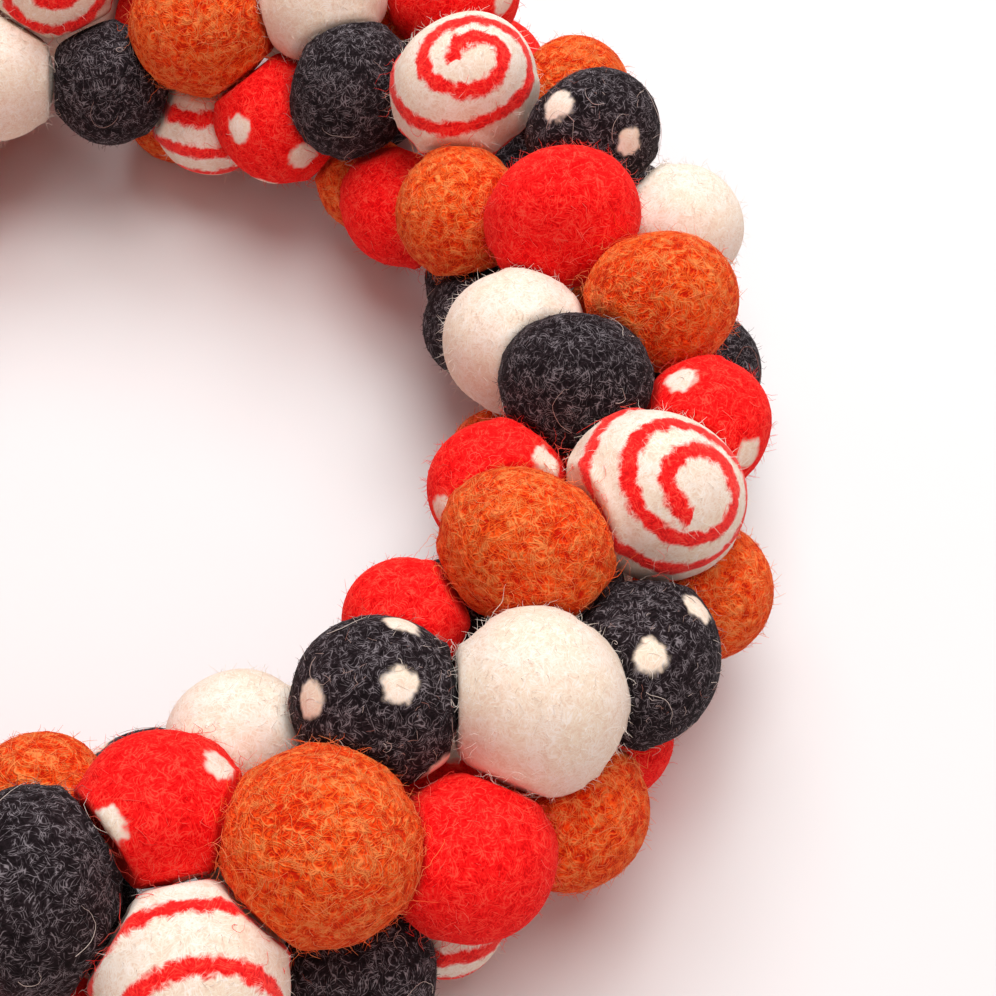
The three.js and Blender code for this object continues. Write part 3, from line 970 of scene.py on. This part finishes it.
    # A three-sided tube along each fibre, thinner towards its end
    curves = put("GeometryNodePointsToCurves", (toned, root, step))
    factor = put("GeometryNodeSplineParameter").outputs["Factor"]
    taper = put(MATHS, (factor, factor), "MULTIPLY")
    taper = put(MATHS, (taper, -TAPER, 0.5), "MULTIPLY_ADD")
    half = put(MATHS, (taper, given["Thickness"]), "MULTIPLY")
    section = put("GeometryNodeCurvePrimitiveCircle", {"Resolution": 3, "Radius": 1})
    tubes = put("GeometryNodeCurveToMesh",
                {"Curve": curves, "Profile Curve": section, "Scale": half, "Fill Caps": True})
    smooth = put("GeometryNodeSetShadeSmooth", {"Geometry": tubes})
    real = put("GeometryNodeRealizeInstances", (smooth,))
    dressed = put("GeometryNodeSetMaterial", {"Geometry": real, "Material": given["Material"]})
    put("NodeGroupOutput", (dressed,))
    return tree


# Ways in which fibres lie or stand. Thickness and lift are in millimetres, stand in
# radians; own keeps a fibre to its ball. Real fibres are thinner, too thin to show.
KIND_COLUMNS = ("where", "thickness", "stand", "lift", "hug", "own")
FIBRE_KINDS = {
    "matted": ("body", 0.13, 0, 0.2, 1, 1),
    "marked": ("marked", 0.13, 0, 0.2, 1, 1),
    "fuzz": ("body", 0.1, 1.0, 0, 0, 1),
    "curls": ("crease", 0.12, 0.5, 0.6, 0.35, 0),
    "strays": ("body", 0.12, 0.1, 0.5, 0.8, 0),
}

# Fibres on each felt: how many grow on a square centimetre, their length in millimetres,
# the points that they are drawn with, and how much they curl and wander, in radians a
# point. One row can be for two felts.
FIBRE_COLUMNS = ("kind", "felts", "wool", "amount", "length", "points", "curl", "wander")
FIBRES = [
    ("matted", "orange", "orange", 8.0, 5.5, 5, 0.4, 2.6),
    ("matted", "red red_dotted", "red", 1.8, 3.5, 4, 0.4, 2.4),
    ("matted", "black black_dotted", "black", 9.0, 2.0, 3, 0.3, 1.8),
    ("marked", "swirl", "red", 4.0, 2.5, 4, 0.4, 2.4),
    ("marked", "red_dotted black_dotted", "white", 8.0, 2.5, 4, 0.4, 2.4),
    ("fuzz", "orange", "orange", 10.0, 2.6, 3, 0.9, 2.4),
    ("fuzz", "red red_dotted", "red", 10.0, 2.4, 3, 0.9, 2.4),
    ("fuzz", "black", "black", 8.0, 1.8, 3, 0.9, 2.4),
    ("fuzz", "black_dotted", "mixed", 5.0, 2.0, 3, 0.9, 2.4),
    ("fuzz", "white", "white", 14.0, 2.2, 3, 0.9, 2.4),
    ("fuzz", "swirl", "white", 10.0, 2.4, 3, 0.9, 2.4),
    ("curls", "orange", "orange", 8.0, 8.0, 9, 0.9, 2.6),
    ("curls", "red red_dotted", "red", 8.0, 7.0, 9, 0.9, 2.6),
    ("curls", "black", "mixed", 3.0, 6.0, 9, 0.9, 2.6),
    ("curls", "black_dotted", "mixed", 5.0, 6.0, 9, 0.9, 2.6),
    ("curls", "white", "white", 7.0, 7.0, 9, 0.9, 2.6),
    ("curls", "swirl", "red", 5.0, 7.0, 9, 0.9, 2.6),
    ("strays", "black", "mixed", 0.2, 12.0, 12, 0.3, 1.8),
    ("strays", "black_dotted", "mixed", 0.5, 12.0, 12, 0.3, 1.8),
    ("strays", "orange", "orange", 0.3, 12.0, 12, 0.35, 1.8),
]


def grown(name, source, row, seed):
    """Runs the fibre tree over a mesh, and returns the fibres as a plain mesh"""
    carrier = new_object(name + "_carrier", source)
    modifier = carrier.modifiers.new("fibres", "NODES")
    modifier.node_group = fibre_tree()
    values = {name.capitalize(): float(row[name]) for name in ("curl", "wander", "stand", "hug")}
    values |= {name.capitalize(): row[name] for name in ("where", "points", "own")}
    values |= {name.capitalize(): row[name] * MM for name in ("length", "thickness", "lift")}
    values |= {
        "Amount": row["amount"] * PER_SQUARE_CM * bpy.context.scene.wreath_sizes.fibre_amount,
        "Felt": float(list(BASE_OF).index(row["felt"])),
        "Seed": seed,
        "Material": bpy.data.materials[f"wool_fibre_{row['wool']}"],
    }
    for item in modifier.node_group.interface.items_tree:
        if item.item_type == "SOCKET" and item.in_out == "INPUT" and item.name in values:
            modifier[item.identifier] = values[item.name]
    depsgraph = bpy.context.evaluated_depsgraph_get()
    mesh = bpy.data.meshes.new_from_object(carrier.evaluated_get(depsgraph))
    bpy.data.objects.remove(carrier)
    mesh.name = name
    for spare in ("root", "outward", *BALL_ATTRIBUTES):
        if spare in mesh.attributes:
            mesh.attributes.remove(mesh.attributes[spare])
    return mesh


def joined(meshes, name):
    """One mesh of many, with their attributes"""
    copies = [mesh.copy() for mesh in meshes]
    parts = [new_object(name + "_part", copy) for copy in copies]
    with bpy.context.temp_override(active_object=parts[0], selected_editable_objects=parts):
        bpy.ops.object.join()
    whole = parts[0].data
    bpy.data.objects.remove(parts[0])
    for copy in copies[1:]:
        bpy.data.meshes.remove(copy)
    return whole


# Sizes and colours that a user would change. The lengths are in millimetres.
SIZES = {
    "ball_gap": ("Ball gap", "Gap between two balls that press on each other", 0.1),
    "contact_softness": ("Contact softness", "How round the edge of a pressed flat is", 2.4),
    "bulge_reach": ("Bulge reach", "Widest gap to a flat that pressed felt still swells into", 3.6),
    "lump_height": ("Lump height", "Unevenness of a hand-rolled ball", 0.6),
    "mark_height": ("Mark height", "How far needled dots and stripes stand up", 0.12),
    "dot_radius": ("Dot radius", "Radius of a needled dot", 3.4),
}


class WreathSizes(bpy.types.PropertyGroup):
    """Sizes of the wreath's finish"""
    __annotations__ = {
        name: bpy.props.FloatProperty(name=label, description=words, unit="LENGTH", default=size * MM)
        for name, (label, words, size) in SIZES.items()
    }
    fibre_amount: bpy.props.FloatProperty(
        name="Fibre amount", description="How many loose fibres grow, against the usual", default=1.0)


class WreathColours(bpy.types.PropertyGroup):
    """Colours of the wools and the floor"""
    __annotations__ = {
        f"{wool}_{part}": bpy.props.FloatVectorProperty(
            name=f"{wool.capitalize()}, {part}", description=words.format(wool),
            subtype="COLOR", default=linear(colour))
        for wool, colours in WOOL_COLOURS.items()
        for (part, words), colour in zip(WOOL_PARTS.items(), colours) if colour is not None
    }
    floor: bpy.props.FloatVectorProperty(
        name="Floor", description="Colour of the pale floor", subtype="COLOR", default=linear(0xEDEDEE))


class BallBuilder:
    """Builds every ball whose felt is one of its kinds"""
    kinds = ()

    def execute(self, context):
        balls, shift = plan()
        felt_materials()
        for ball in balls:
            if ball.felt in self.kinds:
                mesh = ball_mesh(ball, balls, shift, context.scene.wreath_sizes)
                mesh.materials.append(bpy.data.materials[f"felted_wool_{ball.felt}"])
                place_piece(piece_name(ball), mesh, [ball.node])
        return {"FINISHED"}


class WREATH_OT_plain_balls(BallBuilder, bpy.types.Operator):
    """Builds the balls of one colour"""
    bl_idname = "wreath.plain_balls"
    bl_label = "Plain Balls"
    kinds = ("orange", "black", "white", "red")


class WREATH_OT_dotted_balls(BallBuilder, bpy.types.Operator):
    """Builds the balls with needled dots"""
    bl_idname = "wreath.dotted_balls"
    bl_label = "Dotted Balls"
    kinds = ("red_dotted", "black_dotted")


class WREATH_OT_swirl_balls(BallBuilder, bpy.types.Operator):
    """Builds the balls with a needled spiral stripe"""
    bl_idname = "wreath.swirl_balls"
    bl_label = "Spiral Balls"
    kinds = ("swirl",)


class WREATH_OT_fibres(bpy.types.Operator):
    """Grows matted, standing and loose fibres on all balls of each felt"""
    bl_idname = "wreath.fibres"
    bl_label = "Fibres"

    def execute(self, context):
        felt_materials()
        meshes = [o.data for o in context.scene.objects if o.name.startswith("felt_ball_")]
        if not meshes:
            raise RuntimeError("no ball is there to grow fibres on")
        source = joined(meshes, "all_balls")
        rows = [dict(zip(FIBRE_COLUMNS, values)) for values in FIBRES]
        rows = [row | {"felt": felt} for row in rows for felt in row["felts"].split()]
        for number, row in enumerate(rows, 1):
            row.update(zip(KIND_COLUMNS, FIBRE_KINDS[row["kind"]]))
            name = f"{row['kind']}_fibres_{row['felt']}"
            mesh = grown(name, source, row, FIBRE_SEED * number)
            place_piece(name, mesh)
        bpy.data.meshes.remove(source)
        return {"FINISHED"}


class WREATH_OT_stage(bpy.types.Operator):
    """Sets up the pale floor, the soft light and the camera"""
    bl_idname = "wreath.stage"
    bl_label = "Stage"

    def execute(self, context):
        scene = context.scene
        colours = scene.wreath_colours
        mesh = bpy.data.meshes.new("floor")
        corners = [(x * FLOOR_REACH, y * FLOOR_REACH, 0) for x, y in ((-1, -1), (1, -1), (1, 1), (-1, 1))]
        mesh.from_pydata(corners, [], [(0, 1, 2, 3)])
        floor = new_object("floor", mesh)
        # Matt painted board: even and pale, with the faintest mottling
        paint = bpy.data.materials.new("painted_board")
        put = adder(paint)
        place = put("ShaderNodeTexCoord").outputs["Object"]
        mottle = put(NOISE, {"Vector": place, "Scale": MOTTLE_SCALE, "Detail": 0})
        mottle = put(RANGE, {"Value": mottle, "To Min": MOTTLE_LOW, "To Max": 1})
        colour = put(VECTORS, {0: colours.floor[:3], "Scale": mottle}, "SCALE")
        shader = put("ShaderNodeBsdfPrincipled",
                     {"Base Color": colour, "Roughness": 0.7, "Specular IOR Level": 0.2})
        put("ShaderNodeOutputMaterial", (shader,))
        mesh.materials.append(paint)

        world = bpy.data.worlds.new("soft_room")
        put = adder(world)
        glow = put("ShaderNodeBackground", {"Color": solid(ROOM_GLOW), "Strength": ROOM_STRENGTH})
        put("ShaderNodeOutputWorld", (glow,))
        scene.world = world

        for name, row in SOFTBOXES.items():
            lamp = bpy.data.lights.new(name, "AREA")
            lamp.shape = "DISK"
            lamp.size = SOFTBOX_SIZE * MM
            lamp.energy = row["watts"]
            lamp.color = row["colour"]
            softbox = new_object(name, lamp)
            towards = Vector(direction(row["bearing"], row["lift"]))
            softbox.location = (Vector(SOFTBOX_AIM) + towards * SOFTBOX_AWAY) * MM
            softbox.rotation_euler = towards.to_track_quat("Z", "Y").to_euler()

        lens = bpy.data.cameras.new("camera")
        lens.lens = CAMERA_LENS
        lens.sensor_width = CAMERA_SENSOR
        lens.clip_start = 0.01
        camera = new_object("camera", lens)
        camera.location = (np.array(CAMERA_PLACE) + plan()[1]) * MM
        camera.rotation_euler = (math.radians(CAMERA_TILT), 0, 0)
        scene.camera = camera
        scene.view_settings.view_transform = "Standard"
        return {"FINISHED"}


class WREATH_PT_panel(bpy.types.Panel):
    """Lists the wreath's sizes, colours and steps"""
    bl_label = "Felt Pom Pom Wreath"
    bl_space_type = "VIEW_3D"
    bl_region_type = "UI"
    bl_category = "Wreath"

    def draw(self, context):
        column = self.layout.column()
        for group in (context.scene.wreath_sizes, context.scene.wreath_colours):
            for name in group.__annotations__:
                column.prop(group, name)
        for operator in OPERATORS:
            column.operator(operator.bl_idname)


OPERATORS = (WREATH_OT_plain_balls, WREATH_OT_dotted_balls, WREATH_OT_swirl_balls, WREATH_OT_fibres,
             WREATH_OT_stage)
CLASSES = (WreathSizes, WreathColours, *OPERATORS, WREATH_PT_panel)


def register():
    for cls in CLASSES:
        bpy.utils.register_class(cls)
    bpy.types.Scene.wreath_sizes = bpy.props.PointerProperty(type=WreathSizes)
    bpy.types.Scene.wreath_colours = bpy.props.PointerProperty(type=WreathColours)


def unregister():
    del bpy.types.Scene.wreath_sizes
    del bpy.types.Scene.wreath_colours
    for cls in reversed(CLASSES):
        bpy.utils.unregister_class(cls)


def main():
    register()
    bpy.ops.wreath.plain_balls()
    bpy.ops.wreath.dotted_balls()
    bpy.ops.wreath.swirl_balls()
    bpy.ops.wreath.fibres()
    bpy.ops.wreath.stage()


if __name__ == "__main__":
    main()
